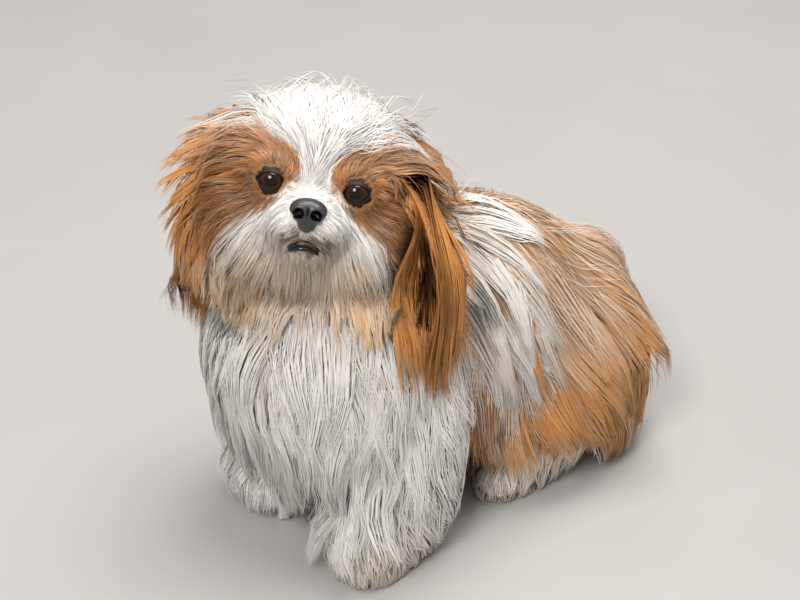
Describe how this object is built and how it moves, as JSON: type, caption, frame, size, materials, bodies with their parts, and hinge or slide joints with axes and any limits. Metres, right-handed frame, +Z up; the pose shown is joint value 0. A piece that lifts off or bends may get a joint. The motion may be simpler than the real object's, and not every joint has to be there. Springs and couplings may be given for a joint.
{
  "type": "shih tzu",
  "caption": "Sitting shih tzu with a long white and orange coat, looking up and round to its left, life size.",
  "frame": {"origin": "middle of the whole dog's box, on the floor", "axes": "+Z up, -Y the way the chest faces, +X the dog's left side"},
  "size_m": [0.2354, 0.3394, 0.3551],
  "materials": {
    "coat_white": "matte",
    "coat_orange": "matte",
    "nose_leather": "satin",
    "eye": "gloss"
  },
  "bodies": {
    "root": {"ear_left": "coat_orange", "ear_right": "coat_orange", "eye_left": "eye", "eye_right": "eye", "foreleg_left": "coat_white", "foreleg_right": "coat_white", "head": "coat_white", "hindleg_left": "coat_white", "hindleg_right": "coat_white", "neck": "coat_white", "nose": "nose_leather", "tail": "coat_orange", "torso": "coat_white"}
  },
  "joints": []
}
